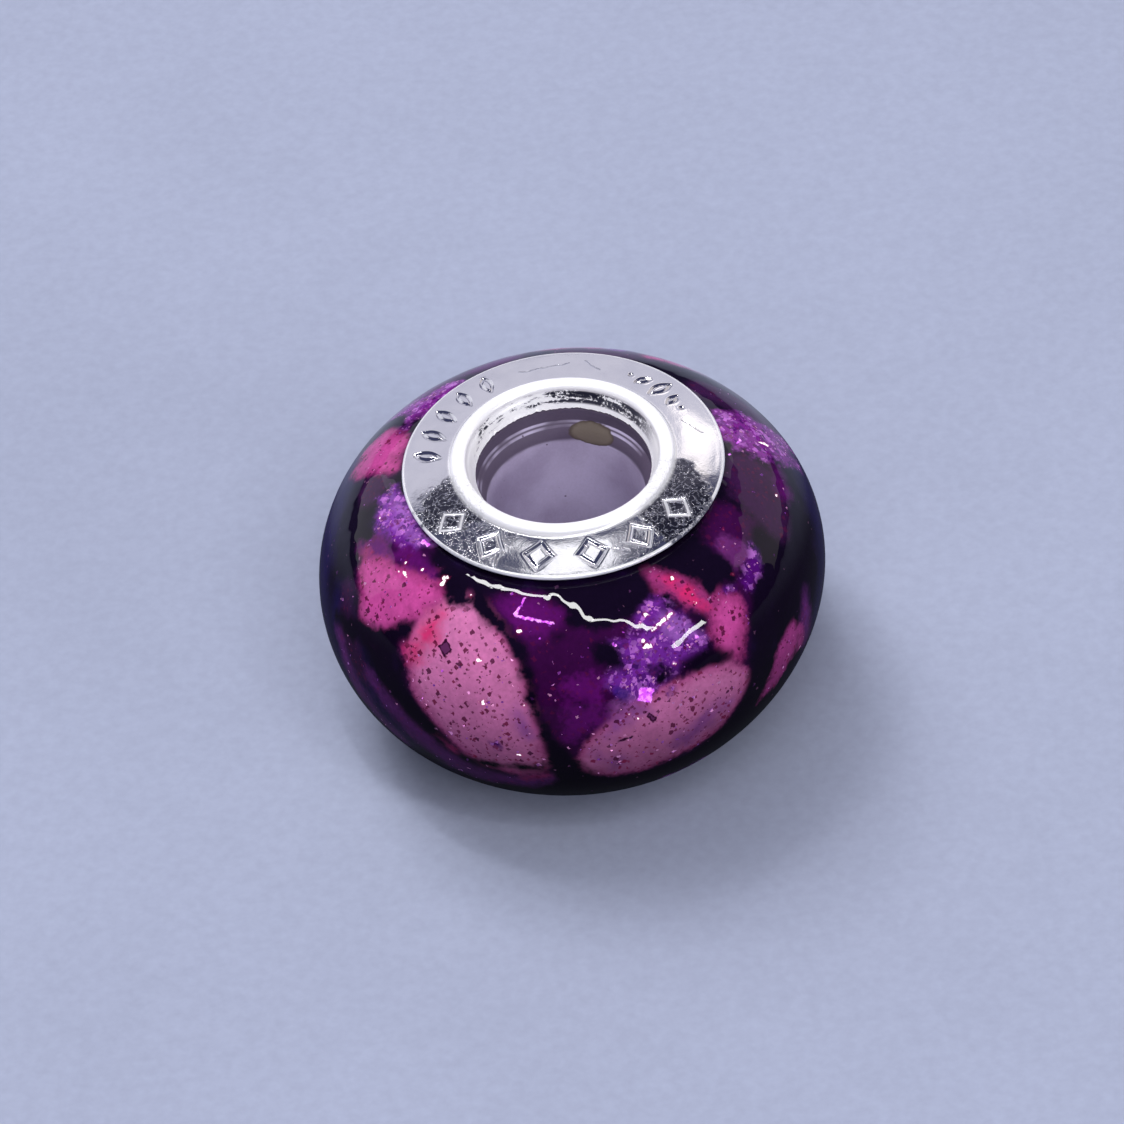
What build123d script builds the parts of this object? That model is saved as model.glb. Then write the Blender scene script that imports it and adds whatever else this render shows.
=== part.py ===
from build123d import *
import os

# European charm bead: a rounded ring of glass with a silver cap glued on each end.
# The bore runs along Z and the bead stands on its lower cap, whose lip touches z = 0.
# All sizes are in millimetres.

# Glass
glass_diameter = 14.2
glass_length = 7.86
end_face_width = 0.92

# Bore through the glass, which tapers out and then steps out towards each mouth
bore_diameter = 4.36
taper_widening = 0.12
taper_depth = 1.08
step_widening = 0.12
step_depth = 0.52
step_chamfer = 0.12

# Silver cap
flange_diameter = 8.86
rim_thickness = 0.14
dome_rise = 0.22
dome_bulge = 0.03
lip_width = 0.42
lip_rise = 0.18
funnel_spread = 0.23
spigot_wall = 0.16
spigot_length = 0.12

# Glue line between a cap and the glass
glue_gap = 0.05

bore_radius = bore_diameter / 2
taper_radius = bore_radius + taper_widening
mouth_radius = taper_radius + step_widening
spigot_radius = mouth_radius + spigot_wall
pocket_radius = spigot_radius + glue_gap
end_face_radius = pocket_radius + end_face_width

lip_inner_radius = mouth_radius + funnel_spread
lip_crest_radius = lip_inner_radius + lip_width / 2
lip_outer_radius = lip_inner_radius + lip_width
lip_foot_height = rim_thickness + dome_rise
cap_height = lip_foot_height + lip_rise

end_face_height = glass_length / 2
cap_seat_height = end_face_height + glue_gap
half_height = cap_seat_height + cap_height


def revolved(outline):
    """Turn an outline of radius and height all the way round the bore's axis."""
    return revolve(Plane.XZ * make_face(outline), Axis.Z)


def glass_blank():
    """Undrilled glass: flat end faces joined by an elliptical belly."""
    belly_depth = glass_diameter / 2 - end_face_radius
    belly = EllipticalCenterArc(
        (end_face_radius, 0), belly_depth, end_face_height, start_angle=-90, arc_size=180
    )
    ends = Polyline(belly @ 1, (0, end_face_height), (0, -end_face_height), belly @ 0)
    return revolved([belly, ends])


def bore_half():
    """What is drilled out above the middle: bore, taper, wide mouth and the cap's pocket."""
    taper_height = end_face_height - taper_depth
    step_height = end_face_height - step_depth
    pocket_height = end_face_height - spigot_length
    outline = Polyline(
        (0, 0),
        (bore_radius, 0),
        (bore_radius, taper_height),
        (taper_radius, step_height - step_chamfer),
        (mouth_radius, step_height),
        (mouth_radius, pocket_height),
        (pocket_radius, pocket_height),
        (pocket_radius, cap_seat_height),
        (0, cap_seat_height),
        close=True,
    )
    return revolved(outline)


def glass_body():
    """The drilled glass, centred on its middle."""
    upper_bore = bore_half()
    lower_bore = mirror(upper_bore, Plane.XY)
    return glass_blank() - (upper_bore + lower_bore)


def end_cap():
    """One cap, with its flat seat at height 0 and its lip upwards."""
    rim_round = rim_thickness / 2
    rim_radius = flange_diameter / 2 - rim_round
    rim = ThreePointArc(
        (rim_radius, 0),
        (flange_diameter / 2, rim_round),
        (rim_radius, rim_thickness),
    )
    dome_middle = (
        (rim_radius + lip_outer_radius) / 2,
        rim_thickness + dome_rise / 2 + dome_bulge,
    )
    dome = ThreePointArc(rim @ 1, dome_middle, (lip_outer_radius, lip_foot_height))
    lip = ThreePointArc(
        dome @ 1,
        (lip_crest_radius, cap_height),
        (lip_inner_radius, lip_foot_height),
    )
    funnel_and_seat = Polyline(
        lip @ 1,
        (mouth_radius, -spigot_length),
        (spigot_radius, -spigot_length),
        (spigot_radius, 0),
        rim @ 0,
    )
    return revolved([rim, dome, lip, funnel_and_seat])


def bead():
    """Every piece in its place, by node name."""
    upper_cap = Pos(0, 0, cap_seat_height) * end_cap()
    middle = Pos(0, 0, half_height)
    return {
        "glass_body": middle * glass_body(),
        "upper_end_cap": middle * upper_cap,
        "lower_end_cap": middle * mirror(upper_cap, Plane.XY),
    }


os.makedirs("parts", exist_ok=True)
for node, piece in bead().items():
    export_step(piece, f"parts/{node}.step")
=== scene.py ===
import logging
import math
from dataclasses import dataclass, field
from enum import Enum
from typing import Any, Optional, Union

import bmesh
import bpy
import numpy as np
from mathutils import Matrix, Vector, noise


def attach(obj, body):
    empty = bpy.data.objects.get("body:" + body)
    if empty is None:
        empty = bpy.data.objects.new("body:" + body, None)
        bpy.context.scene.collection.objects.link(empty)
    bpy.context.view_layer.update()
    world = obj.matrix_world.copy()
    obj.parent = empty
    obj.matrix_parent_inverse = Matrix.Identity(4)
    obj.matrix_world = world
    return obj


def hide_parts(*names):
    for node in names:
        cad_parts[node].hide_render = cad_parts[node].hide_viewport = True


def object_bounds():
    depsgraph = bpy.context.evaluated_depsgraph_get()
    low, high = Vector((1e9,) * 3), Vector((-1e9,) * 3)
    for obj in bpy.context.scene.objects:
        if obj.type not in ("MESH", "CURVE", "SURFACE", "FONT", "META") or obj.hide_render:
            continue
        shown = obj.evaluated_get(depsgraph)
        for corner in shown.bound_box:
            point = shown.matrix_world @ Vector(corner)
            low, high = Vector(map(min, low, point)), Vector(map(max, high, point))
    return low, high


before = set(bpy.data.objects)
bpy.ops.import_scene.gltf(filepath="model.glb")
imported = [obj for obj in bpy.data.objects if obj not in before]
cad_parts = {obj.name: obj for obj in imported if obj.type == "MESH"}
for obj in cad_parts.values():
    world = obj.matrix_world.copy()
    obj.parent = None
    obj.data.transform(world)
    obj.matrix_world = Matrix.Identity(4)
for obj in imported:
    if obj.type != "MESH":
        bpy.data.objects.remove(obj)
CAD_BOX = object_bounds()

MM = 0.001
MIDDLE = Vector((0.0, 0.0, (CAD_BOX[0][2] + CAD_BOX[1][2]) / 2))
LOG = logging.getLogger("bead")

Colour = tuple[float, float, float]
Value = Union["Wire", float]
Anchor = tuple[float, float, float]
Profile = list[tuple[float, float]]

NOWHERE = (0.0, 0.0, 0.0)
RIGHT = (1.0, 0.0, 0.0)
BACK = (0.0, 1.0, 0.0)
UP = (0.0, 0.0, 1.0)
GREY = (0.5, 0.5, 0.5)


def paint(red: int, green: int, blue: int) -> Colour:
    """Turn a colour read from a swatch into light values.

    Args:
        red: red from 0 to 255.
        green: green from 0 to 255.
        blue: blue from 0 to 255.

    Returns:
        The linear colour.
    """
    return tuple(
        part / 12.92 if part <= 0.04045 else ((part + 0.055) / 1.055) ** 2.4
        for part in (red / 255, green / 255, blue / 255)
    )


class Wire:
    """One shader output, which adds Math nodes when it is used in an expression."""

    def __init__(self, bench: "Bench", socket: bpy.types.NodeSocket) -> None:
        """Wrap socket, which belongs to the tree of bench."""
        self.bench = bench
        self.socket = socket

    def _sum(self, operation: str, first: Value, second: Value) -> "Wire":
        """Add one Math node of two values."""
        return self.bench.node("ShaderNodeMath", {"operation": operation}, {0: first, 1: second})

    def __add__(self, other: Value) -> "Wire":
        """Self plus other."""
        return self._sum("ADD", self, other)

    def __radd__(self, other: Value) -> "Wire":
        """Other plus self."""
        return self._sum("ADD", other, self)

    def __sub__(self, other: Value) -> "Wire":
        """Self minus other."""
        return self._sum("SUBTRACT", self, other)

    def __rsub__(self, other: Value) -> "Wire":
        """Other minus self."""
        return self._sum("SUBTRACT", other, self)

    def __mul__(self, other: Value) -> "Wire":
        """Self times other."""
        return self._sum("MULTIPLY", self, other)

    def __rmul__(self, other: Value) -> "Wire":
        """Other times self."""
        return self._sum("MULTIPLY", other, self)

    def __or__(self, other: Value) -> "Wire":
        """The larger of self and other."""
        return self._sum("MAXIMUM", self, other)

    def __abs__(self) -> "Wire":
        """Self without its sign."""
        return self.bench.node("ShaderNodeMath", {"operation": "ABSOLUTE"}, {0: self})

    def twin(self, name: str) -> "Wire":
        """Another output of the same node."""
        return Wire(self.bench, self.socket.node.outputs[name])

    def smooth(self, low: float, high: float) -> "Wire":
        """Ease from 0 at low to 1 at high."""
        return self.bench.node(
            "ShaderNodeMapRange",
            {"interpolation_type": "SMOOTHSTEP"},
            {"Value": self, "From Min": low, "From Max": high},
        )

    def between(self, low: float, high: float) -> "Wire":
        """Spread self from 0..1 to low..high."""
        return self * (high - low) + low


class Bench:
    """Adds nodes to one shader tree."""

    def __init__(self, tree: bpy.types.NodeTree) -> None:
        """Start on tree with its nodes cleared away."""
        self.tree = tree
        tree.nodes.clear()

    def node(
        self,
        kind: str,
        settings: Optional[dict[str, Any]] = None,
        inputs: Optional[dict[Union[str, int], Any]] = None,
        output: Union[str, int] = 0,
    ) -> Wire:
        """Add one node.

        Args:
            kind: the node's type.
            settings: its properties, which are set first.
            inputs: values or wires by socket name or number.
            output: the socket that is handed back.

        Returns:
            That output.
        """
        node = self.tree.nodes.new(kind)
        for name, value in (settings or {}).items():
            setattr(node, name, value)
        for name, value in (inputs or {}).items():
            if isinstance(value, Wire):
                self.tree.links.new(value.socket, node.inputs[name])
            else:
                node.inputs[name].default_value = value
        return Wire(self, node.outputs[output] if node.outputs else None)

    def vector(self, operation: str, first: Any, second: Any, output: int = 0) -> Wire:
        """Vector Math on two vectors; output 1 is a plain value."""
        settings = {"operation": operation}
        return self.node("ShaderNodeVectorMath", settings, {0: first, 1: second}, output)

    def scaled(self, vector: Any, by: Value) -> Wire:
        """A vector times a value."""
        return self.node("ShaderNodeVectorMath", {"operation": "SCALE"}, {0: vector, "Scale": by})

    def blend(self, factor: Value, first: Any, second: Any) -> Wire:
        """Mix two colours, from first at 0 to second at 1."""
        colours = [
            (*colour, 1.0) if isinstance(colour, tuple) else colour for colour in (first, second)
        ]
        return self.node(
            "ShaderNodeMix", {"data_type": "RGBA"}, {0: factor, 6: colours[0], 7: colours[1]}, 2
        )

    def along(self, vector: Any, axis: Any) -> Wire:
        """How far a vector reaches along an axis."""
        return self.vector("DOT_PRODUCT", vector, axis, 1)

    def distance(self, first: Any, second: Any) -> Wire:
        """How far two places lie apart."""
        return self.vector("DISTANCE", first, second, 1)

    def beside(self, place: Wire, start: Any, run: Vector) -> Wire:
        """How far a place lies from the line that runs from start."""
        offset = self.vector("SUBTRACT", place, start)
        share = self.along(offset, run / run.length_squared)
        share = self.node("ShaderNodeClamp", None, {"Value": share})
        return self.distance(offset, self.scaled(run, share))

    def written(self, name: str) -> Wire:
        """The value that a mesh holds under a name."""
        return self.node("ShaderNodeAttribute", {"attribute_name": name}, output="Fac")

    def place(self, turn: Anchor = NOWHERE) -> Wire:
        """Millimetres from the bead's middle, turned by degrees about each axis."""
        inputs = {
            "Vector": self.node("ShaderNodeTexCoord", output="Object"),
            "Location": MIDDLE,
            "Rotation": tuple(math.radians(angle) for angle in turn),
            "Scale": (MM, MM, MM),
        }
        return self.node("ShaderNodeMapping", {"vector_type": "TEXTURE"}, inputs)

    def cloud(self, place: Wire, per_mm: float, detail: float = 2.0, output: int = 0) -> Wire:
        """Soft noise with per_mm lumps to the millimetre; output 1 is a colour."""
        inputs = {"Vector": place, "Scale": per_mm, "Detail": detail}
        return self.node("ShaderNodeTexNoise", {"noise_dimensions": "3D"}, inputs, output)

    def bump(self, height: Wire, depth_mm: float, strength: float = 1.0) -> Wire:
        """A surface normal from height, where 1 stands depth_mm proud."""
        inputs = {"Height": height, "Distance": depth_mm * MM, "Strength": strength}
        return self.node("ShaderNodeBump", None, inputs)

    def shaken(self, place: Wire, per_mm: float, detail: float) -> Wire:
        """Small random offsets about nothing, one to a place."""
        return self.vector("SUBTRACT", self.cloud(place, per_mm, detail, 1), GREY)

    def finish(self, sockets: dict[str, Any]) -> None:
        """Join a Principled shader with these sockets to the material's output."""
        shader = self.node("ShaderNodeBsdfPrincipled", None, sockets)
        self.node("ShaderNodeOutputMaterial", None, {"Surface": shader})


def blank_material(name: str) -> tuple[bpy.types.Material, Bench]:
    """Make a material and the bench for its nodes.

    Args:
        name: the material's name.

    Returns:
        The material and its bench.
    """
    material = bpy.data.materials.new(name)
    material.use_nodes = True
    return material, Bench(material.node_tree)


class Hue(Enum):
    """Colours of the glass rods that the bead is marbled from, save the navy, which is painted rim shade
    laid along the bead's sides and no rod.
    """

    INK = paint(14, 5, 24)
    # painted rim shade: the navy stands for the darkening where the glass turns away at the bead's left
    # and right sides
    PAINTED_RIM_NAVY = paint(26, 14, 66)
    DUSK = paint(50, 18, 58)
    HEATHER = paint(104, 42, 116)
    PLUM = paint(50, 6, 56)
    MAUVE = paint(90, 34, 94)
    MAGENTA = paint(82, 12, 90)
    ORCHID = paint(116, 36, 130)
    GRAPE = paint(74, 10, 104)
    VIOLET = paint(104, 36, 138)
    LAVENDER = paint(138, 80, 164)
    INDIGO = paint(44, 22, 112)
    CRIMSON = paint(192, 36, 96)
    HOT_PINK = paint(186, 70, 142)
    PALE_PINK = paint(195, 110, 160)
    ROSE = paint(164, 72, 126)
    DUSK_PINK = paint(142, 46, 104)
    BERRY = paint(176, 66, 140)
    HAZE = paint(140, 74, 142)

    @property
    def is_pink(self) -> bool:
        """Whether dark specks show in this glass."""
        pinks = (Hue.PALE_PINK, Hue.HOT_PINK, Hue.DUSK_PINK, Hue.CRIMSON, Hue.BERRY, Hue.HAZE)
        return self in pinks

    @property
    def glitters(self) -> bool:
        """Whether bright flakes crowd in this glass."""
        return self in (Hue.VIOLET, Hue.LAVENDER, Hue.ORCHID, Hue.GRAPE)

    @property
    def is_quiet(self) -> bool:
        """Whether no flakes lie in this glass."""
        return self in (Hue.INK, Hue.PAINTED_RIM_NAVY)


@dataclass(frozen=True)
class Belly:
    """The glass ring's outline: an ellipse turned about the bore, in millimetres."""

    centre_radius: float = 3.55
    depth: float = 3.55
    height: float = 3.93

    def point(self, azimuth: float, latitude: float) -> Vector:
        """Find a place on the belly.

        Args:
            azimuth: degrees round the bore from +X.
            latitude: degrees up the ellipse from the widest line.

        Returns:
            Millimetres from the bead's middle.
        """
        turn, lift = math.radians(azimuth), math.radians(latitude)
        radius = self.centre_radius + self.depth * math.cos(lift)
        return Vector(
            (radius * math.cos(turn), radius * math.sin(turn), self.height * math.sin(lift))
        )


@dataclass(frozen=True)
class Trail:
    """Glass of one colour, trailed over the belly in one or more runs.

    A run goes from dab to dab, and each dab is (azimuth, latitude, radius): degrees round the
    bore from +X, with the front at -90, degrees up the belly, and millimetres.
    """

    hue: Hue
    runs: tuple[tuple[Anchor, ...], ...]
    rim: Optional[Hue] = None
    soft: float = 0.14
    ragged: float = 1.0

    def reach(self, belly: Belly, places: np.ndarray) -> np.ndarray:
        """Measure how far inside this glass each place lies.

        Args:
            belly: the surface that the dabs are laid on.
            places: places in millimetres from the bead's middle, one to a row.

        Returns:
            Millimetres inside the trail's edge, negative outside.
        """
        melt, nothing, limit = 7.0, -1e3, 1.5
        total = np.full(len(places), nothing)
        for run in self.runs:
            for start, end in zip(run, run[1:]):
                first = np.array(belly.point(start[0], start[1]))
                step = np.array(belly.point(end[0], end[1])) - first
                offset = places - first
                share = np.clip(offset @ step / (step @ step), 0.0, 1.0)
                gap = np.linalg.norm(offset - share[:, None] * step, axis=1)
                inside = start[2] + share * (end[2] - start[2]) - gap
                total = np.logaddexp(total, inside * melt)
        return np.clip(total / melt, -limit, limit)


@dataclass(frozen=True)
class Fleck:
    """A single flake lying in the glass, at a place on the belly, with its half size in mm.

    A flake that runs to a second place is a sliver, and one with a turn, in degrees, a square.
    """

    azimuth: float
    latitude: float
    radius: float
    to_azimuth: Optional[float] = None
    to_latitude: Optional[float] = None
    turn: Optional[float] = None


MARBLING = (
    # painted rim shade: these runs lie along the bead's left and right sides, as seen from the front,
    # and darken them
    Trail(Hue.PAINTED_RIM_NAVY, (
        ((-200, 34, 1.0), (-186, 12, 1.6), (-170, -14, 1.6), (-160, -36, 1.3)),
        ((14, 30, 0.9), (4, 8, 1.5), (-12, -16, 1.5), (-26, -36, 1.2)),
        ((-162, 22, 0.6), (-154, 4, 0.9), (-140, -14, 0.8)),
    ), soft=0.5),
    Trail(Hue.DUSK, (
        ((-216, 64, 0.3), (-211, 58, 0.35), (-213, 50, 0.3)),
        ((-190, 63, 0.4), (-184, 60, 0.4), (-186, 52, 0.35)),
        ((36, 64, 0.5), (29, 55, 0.6), (20, 44, 0.6)),
        ((-162, 32, 0.3), (-156, 16, 0.45), (-149, 6, 0.35)),
        ((-4, 67, 0.5), (-9, 61, 0.8), (-13, 54, 0.75), (-18, 46, 0.45)),
        ((60, 52, 0.6), (74, 40, 0.7)),
    ), soft=0.25),
    Trail(Hue.HEATHER, (
        ((-146, 8, 0.2), (-138, 0, 0.26), (-131, -9, 0.34), (-124, -17, 0.3), (-117, -22, 0.3),
         (-106, -20, 0.28), (-99, -15, 0.2)),
        ((-160, 12, 0.2), (-152, -6, 0.3), (-140, -20, 0.3)),
        ((-25, 16, 0.12), (-27, 6, 0.24), (-26, -8, 0.26)),
        ((96, -20, 0.3), (112, -30, 0.35), (130, -34, 0.3)),
        ((16, 14, 0.2), (20, 2, 0.3), (30, -10, 0.3)),
    ), soft=0.3),
    Trail(Hue.PLUM, (
        ((-84, 50, 0.6), (-76, 42, 0.85), (-68, 44, 0.85), (-61, 44, 0.5)),
        ((-81, 30, 0.5), (-73, 26, 0.5)),
        ((-113, 64, 0.35), (-104, 62, 0.6), (-97, 53, 0.85), (-93, 42, 1.15), (-92, 30, 1.35),
         (-92, 18, 1.15), (-93, 8, 0.75)),
        ((-27, 73, 0.35), (-30, 66, 0.55), (-35, 66, 0.4), (-25, 60, 0.3)),
        ((138, 2, 0.7), (150, -18, 1.0), (140, -38, 0.8)),
        ((-2, -14, 0.6), (14, -8, 0.7), (24, -16, 0.6)),
        ((112, 50, 0.6), (126, 52, 0.6), (136, 44, 0.5)),
        ((66, 60, 0.4), (84, 64, 0.4)),
        ((-42.5, 60, 0.3), (-43.5, 47, 0.3), (-44.5, 37, 0.24)),
    ), soft=0.22),
    Trail(Hue.MAGENTA, (
        ((-114, 64, 0.2), (-108, 62, 0.36), (-102, 60, 0.36), (-96, 63, 0.24)),
        ((-164, 62, 0.2), (-156, 65, 0.34), (-148, 69, 0.3)),
        ((-246, 60, 0.3), (-256, 58, 0.45)),
        ((0, 50, 0.2), (-6, 46, 0.25)),
        ((44, -46, 0.7), (70, -54, 0.6)),
        ((-4, -32, 0.5), (12, -28, 0.6), (26, -32, 0.4)),
        ((76, 4, 0.3), (84, -12, 0.45), (88, -24, 0.4)),
        ((-196, 6, 0.3), (-188, -4, 0.4)),
        ((-234, 52.5, 0.24), (-222, 45.5, 0.3), (-211, 39, 0.24)),
    ), soft=0.3),
    Trail(Hue.ORCHID, (
        ((13, 73, 0.4), (13, 64, 0.5), (8, 58, 0.42), (9, 48, 0.28), (10, 34, 0.22)),
        ((-218, 48, 0.2), (-222, 56, 0.3), (-226, 63, 0.34), (-234, 66, 0.34)),
        ((-229.5, 70, 0.24), (-221.5, 65, 0.3), (-213.5, 63.5, 0.2)),
        ((19, 68, 0.3), (17.5, 57, 0.36), (15.5, 45.5, 0.34), (16.5, 30.5, 0.24)),
    ), soft=0.2, ragged=2.2),
    Trail(Hue.GRAPE, (
        ((-33, 50, 0.22), (-35, 45, 0.34), (-39, 45, 0.2)),
        ((-70, 20, 0.1), (-74, 22, 0.16), (-80, 22, 0.2)),
    ), soft=0.2, ragged=2.0),
    Trail(Hue.VIOLET, (
        ((-81, 46.5, 0.22), (-78, 40, 0.38), (-74, 42, 0.45), (-69, 40, 0.48), (-64, 41, 0.42),
         (-62, 36, 0.3)),
        ((-72, 55, 0.24), (-67, 56, 0.28), (-65, 49, 0.34)),
        ((-79, 33, 0.34), (-75, 30, 0.36), (-69, 31, 0.24)),
        ((-83, 31, 0.2), (-79, 26, 0.3), (-74, 25, 0.24)),
        ((-177, 69, 0.36), (-169, 68, 0.52), (-161, 70, 0.36), (-152, 73, 0.18)),
        ((74, 44, 0.8), (88, 34, 1.0), (96, 16, 0.8)),
        ((-84, -56, 0.6), (-64, -48, 0.7), (-46, -54, 0.5)),
        ((166, -52, 0.7), (186, -60, 0.5)),
        ((16, -2, 0.2), (20, -10, 0.3), (17, -18, 0.25)),
        ((154, 6, 0.3), (158, -6, 0.45), (156, -18, 0.4)),
    ), soft=0.2, ragged=2.0),
    Trail(Hue.LAVENDER, (
        ((-66, 50, 0.16), (-65, 45, 0.3), (-61.5, 41, 0.18)),
        ((-174, 71, 0.2), (-166, 71, 0.22), (-156, 74, 0.1), (-150, 75, 0.12)),
    ), soft=0.22, ragged=2.0),
    Trail(Hue.INDIGO, (
        ((-83, 26.5, 0.1), (-81.5, 24.5, 0.17)),
    )),
    Trail(Hue.MAUVE, (
        ((-37, 63, 0.22), (-37, 58, 0.38), (-41, 55, 0.14)),
        ((-204, 70, 0.3), (-196, 68, 0.3)),
    ), soft=0.16),
    Trail(Hue.DUSK_PINK, (
        ((-58, 75, 0.14), (-62, 70, 0.28), (-64, 65, 0.16)),
        ((-57, 63, 0.3), (-54.5, 57, 0.3), (-52, 52, 0.2)),
        ((-169, 50, 0.14), (-163, 52, 0.3), (-157, 55, 0.24)),
        ((-141, 63, 0.2), (-136, 65, 0.24), (-133, 62, 0.2)),
        ((-140, -44, 0.5), (-122, -52, 0.7), (-104, -60, 0.5)),
        ((-106, -17, 0.14), (-101, -14, 0.16)),
        ((-8, -18, 0.2), (2, -14, 0.36), (11, -19, 0.3)),
        ((-170, -32, 0.3), (-162, -40, 0.4)),
        ((-50.5, 52.5, 0.2), (-50, 44, 0.28), (-50.5, 38, 0.2)),
    ), soft=0.18),
    Trail(Hue.HOT_PINK, (
        ((-161, 47, 0.28), (-156, 47, 0.5), (-150, 42, 0.78), (-148.5, 38.5, 0.72), (-143, 45, 0.5)),
        ((-151, 49, 0.4), (-145, 51, 0.64), (-138, 56, 0.5), (-134, 57, 0.36)),
        ((-138, 51, 0.35), (-133, 49, 0.3), (-129, 50, 0.3)),
        ((-46.5, 42, 0.2), (-48.8, 39.5, 0.4), (-50.5, 36, 0.52), (-52, 30, 0.5)),
        ((-51.6, 24, 0.14), (-51.6, 18, 0.2)),
        ((-199, 70, 0.2), (-203, 66, 0.36), (-200, 60, 0.52), (-199, 54, 0.42)),
        ((-200, 60, 0.4), (-209, 55, 0.3), (-206, 48, 0.3)),
        ((-199.5, 45, 0.2), (-197.5, 57, 0.3), (-191.5, 70.5, 0.24)),
        ((101, 50, 0.2), (90, 51, 0.3), (77, 51, 0.34)),
        ((61, 55, 0.28), (54, 47, 0.4), (48, 42, 0.3)),
        ((-20, -56, 0.6), (4, -50, 0.8), (22, -58, 0.5)),
    ), rim=Hue.DUSK_PINK),
    Trail(Hue.CRIMSON, (
        ((-62, 68, 0.16), (-59, 65, 0.26)),
        ((-58, 60, 0.28), (-56, 53, 0.28), (-54, 48, 0.2)),
        ((-134, 51, 0.12), (-130, 52, 0.14)),
        ((-138, 35, 0.1), (-136.5, 32, 0.14)),
        ((-126, -2, 0.1), (-122.5, -6, 0.12)),
    ), rim=Hue.DUSK_PINK, soft=0.2, ragged=2.0),
    Trail(Hue.BERRY, (
        ((-34, 10, 0.18), (-35, 6, 0.3), (-37, 1, 0.32), (-40, -3, 0.28), (-43.5, -8, 0.2),
         (-47, -12, 0.1)),
        ((-31, 3, 0.2), (-30, -4, 0.2)),
        ((-35.5, 10, 0.2), (-38, 4, 0.26), (-40, -3, 0.2)),
    ), soft=0.15),
    Trail(Hue.PALE_PINK, (
        ((-124, 62.5, 0.22), (-121.5, 57, 0.34), (-122.5, 51, 0.85), (-123, 42, 1.38), (-121, 33.5, 1.6),
         (-118, 26, 1.6), (-115.5, 18.5, 1.53), (-112.5, 10, 1.38), (-110, 3, 1.1), (-107, -2, 0.75),
         (-103, -4, 0.4)),
        ((-90, -6, 0.55), (-84, -2, 1.0), (-77, 2, 1.25), (-69, 5.5, 1.25), (-62, 8, 1.1),
         (-56, 11, 0.68)),
        ((28, 4, 0.9), (42, 18, 1.4), (56, 8, 1.1), (60, -12, 0.7)),
        ((104, -6, 0.8), (118, 12, 1.3), (128, 30, 1.0)),
        ((-194, -14, 0.5), (-186, -22, 0.8), (-178, -32, 0.6)),
        ((92, -44, 0.8), (112, -54, 0.7), (132, -62, 0.5)),
    ), rim=Hue.ROSE),
    Trail(Hue.HAZE, (
        ((-58, 3, 0.15), (-63, 0, 0.25), (-70, -6, 0.25)),
        ((-89, -3, 0.1), (-85, -8, 0.2)),
        ((-106, 20, 0.1), (-104, 12, 0.16)),
        ((-85, 9.5, 0.1), (-82, 18.5, 0.16), (-77.5, 17.5, 0.12)),
    ), soft=0.36, ragged=2.0),
    Trail(Hue.CRIMSON, (
        ((-134, 28, 0.03), (-133.5, 34, 0.1), (-131.5, 43.5, 0.16), (-131, 51, 0.15)),
    ), soft=0.34, ragged=1.4),
    Trail(Hue.MAGENTA, (
        ((-169, 50, 0.16), (-163, 56, 0.2), (-156.5, 61, 0.12)),
        ((-149.5, 64.5, 0.06), (-145.5, 67, 0.1), (-138.5, 67, 0.06)),
        ((-91, 30.5, 0.5), (-90.5, 19.5, 0.42), (-94.5, 10, 0.3)),
    ), soft=0.24, ragged=2.4),
    Trail(Hue.GRAPE, (
        ((-112.6, 2.8, 0.02), (-111.6, 2.4, 0.06)),
        ((-46.5, 48, 0.1), (-44.5, 46, 0.12)),
        ((-71.5, 21, 0.04), (-69.5, 22, 0.06)),
    ), soft=0.14, ragged=1.5),
    Trail(Hue.INK, (
        ((-213, 64, 0.1), (-216, 56, 0.2), (-214, 40, 0.6)),
        ((-190, 50, 0.2), (-181, 46, 0.3), (-174, 44, 0.25), (-168, 36, 0.25)),
        ((-176.5, 58, 0.18), (-174, 52, 0.22), (-169.5, 54, 0.2)),
        ((-159.5, 61.5, 0.12), (-157.5, 62, 0.1)),
        ((-149, 71.5, 0.14), (-143, 72.5, 0.14)),
        ((-162, 18, 0.2), (-156, 22, 0.24), (-149.5, 26, 0.24), (-143, 31, 0.18), (-139, 38.5, 0.15),
         (-137, 44, 0.06)),
        ((-143, 29, 0.24), (-141.5, 21, 0.28), (-138, 13, 0.25), (-132.5, 6, 0.2), (-128, 0.5, 0.15),
         (-123.5, -3.5, 0.06)),
        ((-140, 73, 0.12), (-134, 70, 0.22), (-130, 66, 0.28), (-128, 62, 0.18)),
        ((-124, 72, 0.25), (-121, 65, 0.2), (-117, 60, 0.16), (-113, 56, 0.13), (-107, 46.5, 0.13),
         (-104, 38, 0.12), (-102.6, 28, 0.08), (-101, 18, 0.06), (-99.5, 10, 0.08), (-97.5, 1, 0.22),
         (-96, -9, 0.34), (-94, -22, 0.55), (-92, -34, 0.7)),
        ((-120, -11, 0.06), (-113, -10.5, 0.1), (-106, -9.5, 0.1), (-102, -8, 0.1)),
        ((-98, 71, 0.16), (-88, 68, 0.42), (-78, 66, 0.46), (-70, 68, 0.36)),
        ((-92, 60, 0.1), (-84, 59, 0.22), (-77, 61, 0.2)),
        ((-86.5, 48, 0.14), (-84, 43, 0.26), (-81.5, 37, 0.12)),
        ((-72.4, 28.3, 0.17), (-70.8, 28.7, 0.18)),
        ((-74.5, 33, 0.08), (-71.5, 33, 0.12)),
        ((-63.8, 56, 0.13), (-62, 54, 0.13)),
        ((-59, 46.5, 0.14), (-57.6, 43, 0.18)),
        ((-97, 53.5, 0.08), (-95.8, 53, 0.1)),
        ((-92.5, 25.5, 0.1), (-90.5, 24, 0.14)),
        ((-66.5, 29, 0.12), (-62, 28.3, 0.15), (-57, 26, 0.14), (-54, 23.2, 0.09)),
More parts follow.
